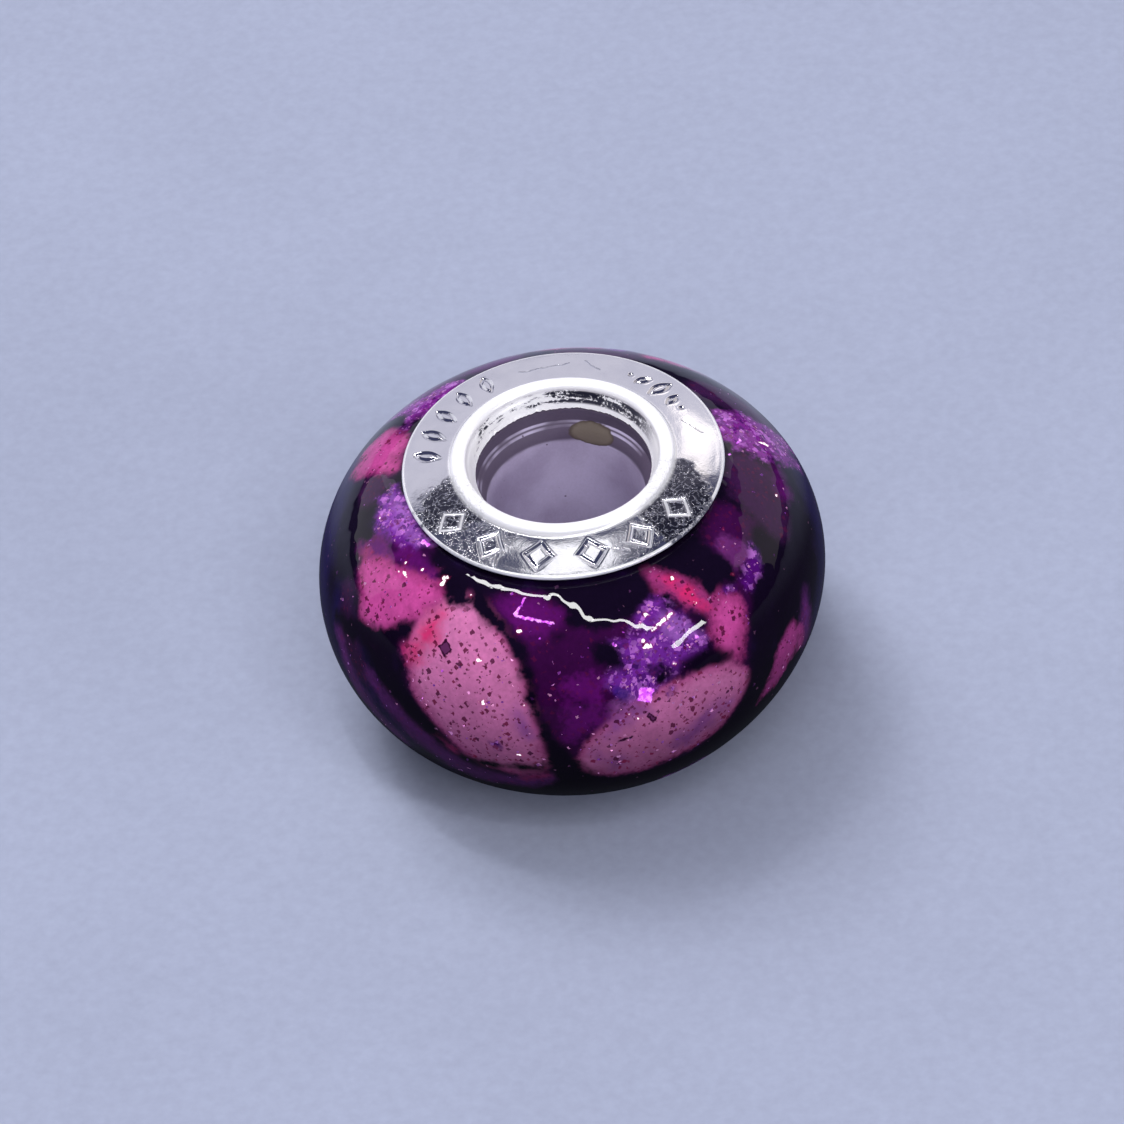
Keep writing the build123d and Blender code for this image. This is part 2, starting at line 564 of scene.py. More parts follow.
        ((-60, 77, 0.3), (-52, 71, 0.4), (-47, 63, 0.42), (-44, 57, 0.32), (-43.5, 50, 0.14)),
        ((-47, 62, 0.3), (-49.5, 56, 0.17), (-50.6, 52.5, 0.1)),
        ((-26, 53, 0.2), (-29, 42, 0.28), (-37.5, 35, 0.26), (-42, 27, 0.32), (-43.5, 17, 0.35),
         (-46.5, 8, 0.3), (-49, 0, 0.26), (-53, -9, 0.28), (-60, -18, 0.26), (-70, -26, 0.34)),
        ((-70, -25, 0.4), (-84, -30, 0.5)),
        ((-28, 36, 0.5), (-31, 24, 0.55), (-37, 17, 0.4)),
        ((66, 46, 0.2), (66, 30, 0.3), (72, 10, 0.3), (84, -8, 0.5), (78, -28, 0.4)),
        ((104, 40, 0.2), (110, 22, 0.18), (106, 6, 0.3)),
        ((-14, -26, 0.1), (0, -22, 0.14), (12, -25, 0.12), (22, -22, 0.1)),
        ((150, -8, 0.12), (162, -14, 0.14), (170, -10, 0.1)),
    ), soft=0.15, ragged=1.2),
)

# painted glints: flakes drawn white and glowing, each with a faint crimson glow about it
PAINTED_GLINT_FLECKS = (
    Fleck(-172.5, 62.5, 0.055),
    Fleck(-163, 52.5, 0.04),
    Fleck(-150.5, 62, 0.05),
    Fleck(-149, 58.5, 0.055, -147.2, 58),
    Fleck(-150.5, 57, 0.045),
    Fleck(-144, 64.5, 0.055),
    Fleck(-135, 64.5, 0.06, -135.5, 67),
    Fleck(-134.5, 68, 0.05),
    Fleck(-141.5, 58.5, 0.035),
    Fleck(-124.5, 65, 0.03),
    Fleck(-116.5, 39.5, 0.08),
    Fleck(-114.5, 22, 0.075),
    Fleck(-107, 54.5, 0.07),
    Fleck(-106.5, -1.5, 0.028, -105.4, -1.8),
    Fleck(-104.5, 23.5, 0.035),
    Fleck(-74, 45.3, 0.07),
    Fleck(-73.8, 43, 0.08, -72.4, 42.5),
    Fleck(-71, 55.5, 0.075),
    # this sliver is a painted reflection of the strip lamp, the short hook where the long highlight ends
    Fleck(-70.5, 48.5, 0.06, -64, 52),
    Fleck(-58.5, 65, 0.065),
    Fleck(-56.5, 51.5, 0.06),
    Fleck(-68, 32, 0.055),
    Fleck(-63, 36, 0.055),
    Fleck(-81, 16.5, 0.05),
    Fleck(-79, 13.5, 0.045),
    Fleck(-66.5, 11.5, 0.042),
    Fleck(-53, 32, 0.045),
    Fleck(-48.5, 24.5, 0.05),
    Fleck(-42, 51, 0.05),
    Fleck(-32.5, 67, 0.04),
    Fleck(-9, 49.5, 0.055),
    Fleck(10, 51.5, 0.05, 10, 55),
    Fleck(-41.5, 1, 0.03),
)

LILAC_FLECKS = (
    Fleck(-76.5, 23, 0.2, turn=24.0),
    Fleck(-107, 69, 0.05, -109, 61),
    Fleck(-109, 61, 0.045, -97.5, 58.5),
    Fleck(-101, 52, 0.05),
    Fleck(-95, 61.5, 0.055),
    Fleck(-81.5, 47, 0.07),
    Fleck(-60.5, 38, 0.085),
    Fleck(-75, 39, 0.04),
    Fleck(-78.5, 51, 0.035),
    Fleck(-38, 42, 0.05),
    Fleck(-40.5, 45, 0.03, -40.2, 42),
    Fleck(-64.5, 23.5, 0.05),
    Fleck(1, 73, 0.05),
    Fleck(7, 68, 0.05, 9, 66),
    Fleck(-149.5, 74.5, 0.07, -152, 74),
)

DARK_FLECKS = (
    Fleck(-126, 40, 0.165, turn=36.0),
    Fleck(-84, 4, 0.05, -81, 5),
    Fleck(-76.5, 13.5, 0.09, -75.5, 10.5),
)


@dataclass(frozen=True)
class MarbledGlass:
    """Fused pink, violet and black glass with glitter, under a clear outer layer; its colour also holds
    painted shade, darker towards the bottom and navy at the sides, and painted glints, white flakes that
    glow.
    """

    belly: Belly = Belly()
    wander: float = 0.09
    drifts: tuple[tuple[float, Anchor, float], ...] = (
        (0.55, NOWHERE, 0.6),
        (1.7, (5.0, 2.0, 9.0), 0.5),
    )
    seed: int = 7
    shards: tuple[tuple[float, Anchor, float], ...] = (
        (3.2, (41.0, 9.0, 22.0), 0.6),
        (5.6, (8.0, 33.0, 61.0), 0.75),
    )
    specks: tuple[tuple[float, Anchor, float], ...] = (
        (4.4, (31.0, 17.0, 44.0), 0.88),
        (7.4, (4.0, 57.0, 12.0), 0.75),
    )
    flake_scale: float = 3.3
    dust_scale: float = 10.0
    # painted shade: the glass darkens from the upper height down to the lower one
    painted_shade_heights: tuple[float, float] = (-1.8, 2.8)
    coat_heights: tuple[float, float] = (1.6, 2.9)
    coat_weights: tuple[float, float] = (0.1, 0.9)

    def lay(self, piece: bpy.types.Object) -> None:
        """Write on each point of the glass how far inside each trail it lies.

        Args:
            piece: the glass, whose mesh takes one attribute for each trail.
        """
        data = piece.data
        flat = np.empty(len(data.vertices) * 3, dtype=np.float32)
        data.vertices.foreach_get("co", flat)
        places = (flat.reshape(-1, 3).astype(float) - np.array(MIDDLE)) / MM
        noise.seed_set(self.seed)
        places += np.array([self._drift(Vector(place)) for place in places]) * self.wander
        for number, trail in enumerate(MARBLING):
            layer = data.attributes.new(f"trail_{number}", "FLOAT", "POINT")
            layer.data.foreach_set("value", trail.reach(self.belly, places).astype(np.float32))

    def _drift(self, place: Vector) -> Vector:
        """How the torch dragged the glass at a place, before the wander's scale."""
        pulls = (
            noise.noise_vector(place * per_mm + Vector(shift)) * strength
            for per_mm, shift, strength in self.drifts
        )
        return sum(pulls, Vector())

    def _scatter(
        self, bench: Bench, crooked: Wire, scale: float, turn: Anchor, least: float, span: float
    ) -> tuple[Wire, Wire]:
        """Scatter square flakes through the glass.

        Args:
            bench: where the nodes go.
            crooked: small random offsets, which bend the squares' sides.
            scale: flakes to the millimetre.
            turn: how the squares are turned, in degrees.
            least: share of a cell that the smallest flake's half width takes.
            span: how much larger the largest is.

        Returns:
            The flakes' mask and a random colour for each.
        """
        settings = {"voronoi_dimensions": "3D", "distance": "CHEBYCHEV"}
        place = bench.vector("ADD", bench.place(turn), bench.scaled(crooked, 0.11))
        inputs = {"Vector": place, "Scale": scale}
        gap = bench.node("ShaderNodeTexVoronoi", settings, inputs)
        chance = gap.twin("Color")
        size = bench.along(chance, (span, 0.0, 0.0)) + least
        return (size - gap).smooth(0.0, 0.05), chance

    def _flecks(self, bench: Bench, place: Wire, flecks: tuple[Fleck, ...]) -> Wire:
        """Measure how far inside the nearest of some charted flakes each place lies.

        Args:
            bench: where the nodes go.
            place: the place in millimetres.
            flecks: the flakes.

        Returns:
            Millimetres inside, negative outside.
        """
        reach: Optional[Wire] = None
        for fleck in flecks:
            centre = self.belly.point(fleck.azimuth, fleck.latitude)
            if fleck.turn is not None:
                up = self.belly.point(fleck.azimuth, fleck.latitude + 1) - centre
                side = self.belly.point(fleck.azimuth + 1, fleck.latitude) - centre
                turn = Matrix.Rotation(math.radians(fleck.turn), 3, up.cross(side))
                offset = bench.vector("SUBTRACT", place, centre)
                sides = []
                for edge in (turn @ up.normalized(), turn @ side.normalized()):
                    sides.append(abs(bench.along(offset, edge)))
                gap = sides[0] | sides[1]
            elif fleck.to_azimuth is None:
                gap = bench.distance(place, centre)
            else:
                run = self.belly.point(fleck.to_azimuth, fleck.to_latitude) - centre
                gap = bench.beside(place, centre, run)
            inside = fleck.radius - gap
            reach = inside if reach is None else reach | inside
        return reach

    def material(self) -> bpy.types.Material:
        """Mix the finish.

        Returns:
            The material of the bead's outside.
        """
        material, bench = blank_material("marbled_glass")
        place = bench.place()
        lumps = bench.cloud(place, 2.2, 3.0) - 0.5
        grit = bench.cloud(place, 8.0, 2.0) - 0.5
        crooked = bench.shaken(place, 9.0, 1.0)
        mottle = bench.cloud(place, 0.9, 4.0)
        ragged = lumps * 0.42 + grit * 0.16

        colour = bench.blend(mottle.smooth(0.5, 0.75), Hue.INK.value, paint(24, 8, 44))
        pink: Value = 0.0
        glitter: Value = 0.0
        quiet: Value = 1.0
        for number, trail in enumerate(MARBLING):
            reach = bench.written(f"trail_{number}") + ragged * trail.ragged
            mask = reach.smooth(-trail.soft, trail.soft)
            paint_on: Any = trail.hue.value
            if trail.rim:
                fringe = reach.smooth(-0.3, 0.0) * (1.0 - pink) * (1.0 - glitter)
                colour = bench.blend(fringe * 0.7, colour, Hue.PLUM.value)
                paint_on = bench.blend(reach.smooth(-0.05, 0.45), trail.rim.value, paint_on)
            colour = bench.blend(mask, colour, paint_on)
            pink = (mask | pink) if trail.hue.is_pink else (1.0 - mask) * pink
            glitter = (mask | glitter) if trail.hue.glitters else (1.0 - mask) * glitter
            quiet = (mask | quiet) if trail.hue.is_quiet else (1.0 - mask) * quiet
        level = bench.along(place, UP)
        # painted shade: colour scaled from 1.0 at the upper height to 0.3 at the lower one, darker
        # towards the bottom
        depth = level.smooth(*self.painted_shade_heights).between(0.3, 1.0)
        colour = bench.scaled(colour, mottle.between(0.68, 1.32) * depth * (grit * 0.5 + 1.0))

        for scale, turn, strength in self.shards:
            shards, shard_chance = self._scatter(bench, crooked, scale, turn, 0.12, 0.36)
            shade = bench.along(shard_chance, BACK)
            shard = bench.blend(shade.smooth(0.15, 0.85), paint(44, 6, 76), paint(190, 112, 206))
            colour = bench.blend(shards * glitter * strength, colour, shard)
        for scale, turn, strength in self.specks:
            specks, speck_chance = self._scatter(bench, crooked, scale, turn, 0.06, 0.3)
            fewer = bench.along(speck_chance, BACK)
            fewer = (fewer + (mottle - 0.5) * 1.6 + lumps * 0.5).smooth(0.3, 0.4)
            peppered = pink | glitter * 0.6 | (1.0 - quiet) * 0.35
            shade = bench.along(speck_chance, UP)
            speck = bench.blend(shade, paint(52, 8, 40), paint(106, 20, 54))
            colour = bench.blend(specks * fewer * peppered * strength, colour, speck)

        flakes, flake_chance = self._scatter(bench, crooked, self.flake_scale, (12, 52, 23), 0.02, 0.2)
        rarity = bench.along(flake_chance, BACK)
        flakes = flakes * (rarity + glitter * 0.5).smooth(0.94, 0.95)
        dust, dust_chance = self._scatter(bench, crooked, self.dust_scale, (63, 8, 71), 0.05, 0.32)
        rare_dust = bench.along(dust_chance, BACK)
        often = glitter * 0.42 + pink * 0.05 + (1.0 - quiet) * 0.025
        dust = dust * (rare_dust + often).smooth(0.965, 0.985)
        bright = (flakes | dust) * (1.0 - quiet * 0.92)
        shade = bench.along(dust_chance, UP)
        leaf = bench.blend(shade.smooth(0.2, 0.8), paint(180, 70, 210), paint(252, 170, 226))
        colour = bench.blend(bright * 0.9, colour, leaf)

        place = bench.vector("ADD", place, bench.scaled(crooked, 0.12))
        dark = self._flecks(bench, place, DARK_FLECKS) + grit * 0.06
        flake_tone = bench.blend(dark.smooth(0.02, 0.07), paint(44, 6, 36), paint(92, 40, 84))
        colour = bench.blend(dark.smooth(-0.02, 0.02), colour, flake_tone)
        lilac = self._flecks(bench, place, LILAC_FLECKS) + grit * 0.05
        lilac_spot = lilac.smooth(-0.01, 0.02)
        lilac_tone = bench.blend(grit.smooth(-0.06, 0.1), paint(190, 70, 220), paint(240, 160, 250))
        colour = bench.blend(lilac_spot, colour, lilac_tone)
        # painted glints: the charted flakes are drawn near white and glow through emission
        glint_reach = self._flecks(bench, place, PAINTED_GLINT_FLECKS) + grit * 0.08
        painted_glint_spot = glint_reach.smooth(-0.01, 0.02)
        # painted glow: a faint crimson halo about each glint
        colour = bench.blend(glint_reach.smooth(-0.06, 0.0) * 0.22, colour, Hue.CRIMSON.value)
        colour = bench.blend(painted_glint_spot, colour, paint(255, 244, 250))
        # painted glow: the lilac flakes and the white glints emit light
        painted_glint_glow = bench.blend(lilac_spot, (0.0, 0.0, 0.0), paint(150, 60, 170))
        painted_glint_glow = bench.blend(painted_glint_spot, painted_glint_glow, paint(240, 225, 235))

        tilt = bench.vector("SUBTRACT", dust_chance, GREY)
        normal = bench.node("ShaderNodeNewGeometry", output="Normal")
        leaning = bench.vector("ADD", normal, bench.scaled(tilt, bright * 1.4))
        leaning = bench.vector("NORMALIZE", leaning, NOWHERE)
        bench.finish(
            {
                "Base Color": colour,
                "Metallic": bright * 0.7,
                "Roughness": 0.4,
                "Specular IOR Level": 0.0,
                "Normal": leaning,
                "Coat Weight": level.smooth(*self.coat_heights).between(*self.coat_weights),
                "Coat Roughness": 0.012,
                "Coat IOR": 1.42,
                # painted glints and lilac glow, given as emission
                "Emission Color": painted_glint_glow,
                "Emission Strength": 1.0,
            }
        )
        return material


@dataclass(frozen=True)
class FrostedBore:
    """The drilled wall of the bore: matt mauve glass with dust and a spot of old glue, plus painted
    shade towards the mouths, painted highlight lines on the taper's edges and a faint painted glow.
    """

    colour: Colour = paint(176, 166, 194)
    shade: Colour = paint(150, 138, 166)
    # painted shade: the darker tone in the recess under the cap's spigot, towards each mouth
    painted_mouth_shade: Colour = paint(68, 56, 76)
    glue: Colour = paint(104, 94, 86)
    glue_edge: Colour = paint(66, 54, 50)
    # painted highlights: heights of the thin light lines drawn on the taper's edges
    painted_edge_highlights: tuple[float, ...] = (2.86, 3.3, 3.4)
    glue_place: Anchor = (0.9, 2.05, 3.12)
    glue_radius: float = 0.7

    def material(self) -> bpy.types.Material:
        """Mix the finish.

        Returns:
            The material of the bore.
        """
        material, bench = blank_material("frosted_bore")
        place = bench.place()
        soft = bench.cloud(place, 0.5, 3.0)
        grain = bench.cloud(place, 12.0, 3.0)
        colour = bench.blend(soft.smooth(0.3, 0.7), self.shade, self.colour)
        colour = bench.scaled(colour, grain.between(0.9, 1.1))
        level = bench.along(place, UP)
        height = abs(level)
        # painted shade: darker towards each mouth, in the recess under the cap
        colour = bench.blend(height.smooth(2.8, 2.95) * 0.9, colour, self.painted_mouth_shade)
        # painted highlights: light lines at the taper's edges, broken into patches by soft noise
        highlight_patches = soft.smooth(0.42, 0.56)
        for edge in self.painted_edge_highlights:
            gap = abs(height - edge)
            colour = bench.blend((0.045 - gap).smooth(0.0, 0.03) * highlight_patches, colour, self.colour)
        settings = {"voronoi_dimensions": "3D"}
        specks = bench.node("ShaderNodeTexVoronoi", settings, {"Vector": place, "Scale": 3.0})
        size = bench.along(specks.twin("Color"), (0.16, 0.0, 0.0)) - 0.03
        dust = (size - specks).smooth(0.0, 0.04)
        colour = bench.blend(dust * 0.8, colour, paint(60, 42, 66))
        offset = bench.vector("SUBTRACT", place, self.glue_place)
        offset = bench.vector("MULTIPLY", offset, (1.0, 1.0, 2.0))
        spread = bench.vector("LENGTH", offset, NOWHERE, 1)
        spread = spread + (bench.cloud(place, 3.0, 2.0) - 0.5) * 0.35
        glue = (self.glue_radius - spread).smooth(0.0, 0.06)
        rim = (self.glue_radius - spread).smooth(0.0, 0.2)
        colour = bench.blend(glue, colour, bench.blend(rim, self.glue_edge, self.glue))
        bench.finish(
            {
                "Base Color": colour,
                "Roughness": 0.62 - glue * 0.3,
                "Normal": bench.bump(grain, 0.006),
                # painted light: the whole bore glows faintly at 12% of its own colour
                "Emission Color": bench.scaled(colour, 0.12),
                "Emission Strength": 1.0,
            }
        )
        return material


@dataclass(frozen=True)
class PolishedSilver:
    """Polished silver with a satin lip, crinkled patches, faint haze and handling marks; the patches and
    the funnel's back are darkened as a painted reflection, and the lip has a painted glow.
    """

    colour: Colour = (0.95, 0.935, 0.955)
    haze: Colour = (0.86, 0.85, 0.89)
    # painted reflection: the dark blue that the front patches and the funnel's back take for the dark
    # surroundings they mirror
    painted_dark_reflection: Colour = (0.035, 0.036, 0.075)
    # painted glow on the lip, given as emission
    painted_lip_glow: Colour = (0.13, 0.13, 0.135)
    lip_edge: float = 3.1
    rim_edge: float = 4.36
    throat_radius: float = 2.66
    # crinkled patches on the flange's front: their bump is real texture, their dark colour a painted
    # reflection
    patches: tuple[tuple[Anchor, float, float], ...] = (
        ((-3.1, -1.35, 4.2), 1.12, 1.0),
        ((-2.5, -2.7, 4.2), 1.15, 0.3),
        ((2.75, -1.35, 4.2), 1.0, 1.0),
        ((3.1, -2.45, 4.2), 1.3, 1.0),
        ((1.8, -3.4, 4.2), 0.8, 0.3),
    )
    scratches: tuple[tuple[Anchor, Anchor], ...] = (
        ((-0.9, 3.62, 4.2), (0.5, 3.8, 4.2)),
        ((0.9, 3.9, 4.2), (1.3, 3.4, 4.2)),
        ((3.3, 1.1, 4.2), (3.9, 0.5, 4.2)),
        ((0.4, -3.4, 4.2), (1.5, -3.7, 4.2)),
    )

    def _scratched(self, bench: Bench, place: Wire) -> Wire:
        """Draw the hairline scratches.

        Args:
            bench: where the nodes go.
            place: the place in millimetres.

        Returns:
            1 in a scratch and 0 beside it.
        """
        place = bench.vector("ADD", place, bench.scaled(bench.shaken(place, 1.6, 2.0), 0.35))
        place = bench.vector("MULTIPLY", place, (1.0, 1.0, 0.0))
        lines: Value = 0.0
        for start, end in self.scratches:
            first = Vector((start[0], start[1], 0.0))
            run = Vector((end[0], end[1], 0.0)) - first
            gap = bench.beside(place, first, run)
            lines = (0.03 - gap).smooth(0.0, 0.025) | lines
        return lines

    def material(self) -> bpy.types.Material:
        """Mix the finish.

        Returns:
            The material of both caps.
        """
        material, bench = blank_material("polished_silver")
        place = bench.place()
        haze = bench.cloud(place, 1.3, 4.0)
        colour = bench.blend(haze.smooth(0.35, 0.75), self.colour, self.haze)
        across = bench.vector("MULTIPLY", place, (1.0, 1.0, 0.0))
        radius = bench.vector("LENGTH", across, NOWHERE, 1)
        lip = 1.0 - radius.smooth(self.lip_edge - 0.08, self.lip_edge + 0.1)
        rim = radius.smooth(self.rim_edge - 0.02, self.rim_edge + 0.02)
        folds = bench.cloud(place, 6.5, 3.0)
        pits = bench.cloud(place, 22.0, 2.0)
        patch: Value = 0.0
        for centre, size, strength in self.patches:
            gap = bench.distance(place, centre)
            reach = size - gap + (haze - 0.5) * 0.9 + (folds - 0.5) * 0.4
            patch = reach.smooth(0.0, 0.2) * strength | patch
        cut = bench.written("cut")
        marked = cut * patch
        patch = (1.0 - cut) * patch
        vein = (0.045 - abs(folds - 0.5)).smooth(0.0, 0.035)
        height = (vein * 0.5 + folds * 0.3) * patch * patch + folds * 0.05 + pits * 0.04
        height = height - self._scratched(bench, place) * 0.25
        level = bench.along(place, UP)
        behind = bench.along(place, BACK).smooth(0.2, 1.6)
        # painted reflection: the patches are coloured dark blue, less along the bright crinkle veins
        painted_reflection_mask = patch * (1.0 - vein * 0.75) * (1.0 - lip)
        colour = bench.blend(painted_reflection_mask * 0.9, colour, self.painted_dark_reflection)
        # painted reflection: the funnel's back wall under the lip is darkened in streaks, where it
        # mirrors the dark front
        throat = (self.throat_radius - radius).smooth(0.0, 0.03) * level.smooth(3.98, 4.06) * behind
        drawn = bench.vector("MULTIPLY", place, (1.0, 1.0, 7.0))
        streaks = bench.cloud(drawn, 1.7, 4.0)
        aside = bench.along(place, RIGHT).smooth(-1.5, 1.0)
        painted_throat_reflection = throat * (streaks + aside * 0.2 - vein * 0.15).smooth(0.5, 0.62)
        colour = bench.blend(painted_throat_reflection * 0.92, colour, self.painted_dark_reflection)
        # the lip's satin finish, less metallic, which also carries a painted glow
        satin_and_glow = lip - painted_throat_reflection | 0.0
        bench.finish(
            {
                "Base Color": colour,
                "Metallic": 1.0 - satin_and_glow * 0.7 - rim * 0.55 - marked * 0.4,
                "Roughness": haze.between(0.08, 0.17) + lip * 0.2 + patch * 0.1 + rim * 0.2,
                "Normal": bench.bump(height, 0.03),
                # painted glow on the satin lip
                "Emission Color": bench.blend(satin_and_glow, (0.0, 0.0, 0.0), self.painted_lip_glow),
                "Emission Strength": 1.0,
            }
        )
        return material


@dataclass(frozen=True)
class PaleCard:
    """The plain pale card that the bead stands on."""

    colour: Colour = paint(152, 158, 180)

    def material(self) -> bpy.types.Material:
        """Mix the finish.

        Returns:
            The floor's material.
        """
        material, bench = blank_material("pale_card")
        place = bench.place()
        fibres = bench.cloud(place, 3.4, 5.0)
        blotch = bench.cloud(place, 0.12, 3.0)
        colour = bench.scaled(self.colour, fibres.between(0.9, 1.1))
        colour = bench.scaled(colour, blotch.between(0.95, 1.05))
        bench.finish({"Base Color": colour, "Roughness": 0.9, "Specular IOR Level": 0.2})
        return material


def added(name: str, data: bpy.types.ID) -> bpy.types.Object:
    """Put a new object with this data into the scene."""
    thing = bpy.data.objects.new(name, data)
    bpy.context.scene.collection.objects.link(thing)
    return thing


def spun(outline: Profile, steps: int) -> bmesh.types.BMesh:
    """Turn a closed outline all the way round the bore.

    A narrow sector is spun first and then repeated round, which is much quicker than one full
    turn of hundreds of steps.

    Args:
        outline: (radius, height) in millimetres from the bead's middle.
        steps: how many times the outline is repeated in the turn, a multiple of 20.

    Returns:
        The closed mesh, in millimetres.
    """
    sectors = 20
    sector = 2 * math.pi / sectors
    mesh = bmesh.new()
    ring = [mesh.verts.new((radius, 0.0, height)) for radius, height in outline]
    sides = [mesh.edges.new(pair) for pair in zip(ring, ring[1:] + ring[:1])]
    about = {"cent": (0.0, 0.0, 0.0), "axis": (0.0, 0.0, 1.0)}
    bmesh.ops.spin(mesh, geom=ring + sides, angle=sector, steps=steps // sectors, **about)
    bmesh.ops.spin(
        mesh,
        geom=mesh.verts[:] + mesh.edges[:] + mesh.faces[:],
        angle=2 * math.pi - sector,
        steps=sectors - 1,
        use_duplicate=True,
        **about,
    )
    bmesh.ops.remove_doubles(mesh, verts=mesh.verts, dist=1e-4)
    bmesh.ops.recalc_face_normals(mesh, faces=mesh.faces)
    return mesh


def settled(mesh: bmesh.types.BMesh, name: str, crease: float) -> bpy.types.Object:
    """Make an object of a mesh drawn in millimetres about the bead's middle.

    Args:
        mesh: the drawn mesh, which is used up.
        name: the piece's name.
        crease: degrees between faces past which an edge stays sharp.

    Returns:
        The object, with its place in its mesh.
    """
    place = Matrix.Translation(MIDDLE) @ Matrix.Scale(MM, 4)
    bmesh.ops.transform(mesh, matrix=place, verts=mesh.verts)
    data = bpy.data.meshes.new(name)
    for face in mesh.faces:
        face.smooth = True
    mesh.to_mesh(data)
    mesh.free()
    data.set_sharp_from_angle(angle=math.radians(crease))
    return added(name, data)


def arc(
    centre: tuple[float, float], radii: tuple[float, float], start: float, end: float, steps: int
) -> Profile:
    """Walk along an elliptical arc.

    Args:
        centre: (radius, height) of its centre.
        radii: its half widths along radius and height.
        start: degrees where it starts.
        end: degrees where it ends.
        steps: how many steps it takes.

    Returns:
        The points, both ends included.
    """
    angles = [math.radians(start + (end - start) * step / steps) for step in range(steps + 1)]
    return [
        (centre[0] + radii[0] * math.cos(angle), centre[1] + radii[1] * math.sin(angle))
        for angle in angles
    ]


@dataclass
class GlassBody:
    """The marbled glass ring, with its drilled and stepped bore. Sizes are in millimetres."""

    belly: Belly = field(default_factory=Belly)
    bore_radius: float = 2.18
    taper_radius: float = 2.30
    mouth_radius: float = 2.42
    pocket_radius: float = 2.63
    taper_depth: float = 1.08
    step_depth: float = 0.52
    step_chamfer: float = 0.12
    pocket_depth: float = 0.12
    steps_round: int = 600
    steps_up: int = 130
    sway: float = 0.05
    flat_side: float = 0.2
    ripple: float = 0.013
    flat_towards: Anchor = (0.78, -0.45, -0.42)
    shoulder_height: float = 1.4
    edge_ease: float = 0.6

    def _bore_wall(self) -> Profile:
        """Outline of the drilled wall above the middle, from the middle up to the end face."""
        top = self.belly.height
        return [
            (self.bore_radius, 0.0),
            (self.bore_radius, (top - self.taper_depth) / 2),
            (self.bore_radius, top - self.taper_depth),
            (self.taper_radius, top - self.step_depth - self.step_chamfer),
            (self.mouth_radius, top - self.step_depth),
            (self.mouth_radius, top - self.pocket_depth),
            (self.pocket_radius, top - self.pocket_depth),
            (self.pocket_radius, top),
        ]

    def _outline(self) -> Profile:
        """Close the belly and both halves of the bore into one outline."""
        belly = self.belly
        centre = (belly.centre_radius, 0.0)
        outside = arc(centre, (belly.depth, belly.height), -90, 90, self.steps_up)
        upper = self._bore_wall()
        lower = [(radius, -height) for radius, height in upper[1:]]
        return outside + upper[::-1] + lower

    def _handmade(self, place: Vector) -> float:
        """Work out how far the torch-worked outline falls inside the true one.

        Args:
            place: a place on the belly, in millimetres from the middle.

        Returns:
            Millimetres to move inwards.
        """
        sway = (noise.noise(place * 0.22 + Vector((3.1, 0.4, 7.7))) + 1) / 2 * self.sway
        lean = Vector(self.flat_towards).dot(place.normalized())
        flat = max(0.0, lean) ** 4 * self.flat_side
        shoulder = min(1.0, max(0.0, (place.z - self.shoulder_height) / self.shoulder_height))
        broad = noise.noise(place * 0.8) * 0.5 + noise.noise(place * 1.9) * 0.4
        fine = noise.noise(place * 3.6) * 0.26
        ripple = (broad + fine + 1.0) * self.ripple
        return sway + flat + ripple * (0.25 + 0.75 * shoulder)

    def build(self) -> bpy.types.Object:
        """Model the ring and dress it.

        Returns:
            The finished piece.
        """
        mesh = spun(self._outline(), self.steps_round)
        inner = self.pocket_radius + 0.01
        for vert in mesh.verts:
            radius = math.hypot(vert.co.x, vert.co.y)
            if radius > self.belly.centre_radius:
                ease = min(1.0, (radius - self.belly.centre_radius) / self.edge_ease)
                outward = Vector((vert.co.x, vert.co.y, vert.co.z * 0.8)).normalized()
                vert.co -= outward * self._handmade(vert.co) * ease
        for face in mesh.faces:
            middle = face.calc_center_median()
            face.material_index = int(math.hypot(middle.x, middle.y) < inner)
        piece = settled(mesh, "marbled_glass_bead", 35)
        glass = MarbledGlass(self.belly)
        glass.lay(piece)
        piece.data.materials.append(glass.material())
        piece.data.materials.append(FrostedBore().material())
        return piece


class Motif(Enum):
    """Plain engraver's marks on the flange."""

    LOZENGE = "lozenge"
    LEAF = "leaf"
    TICK = "tick"


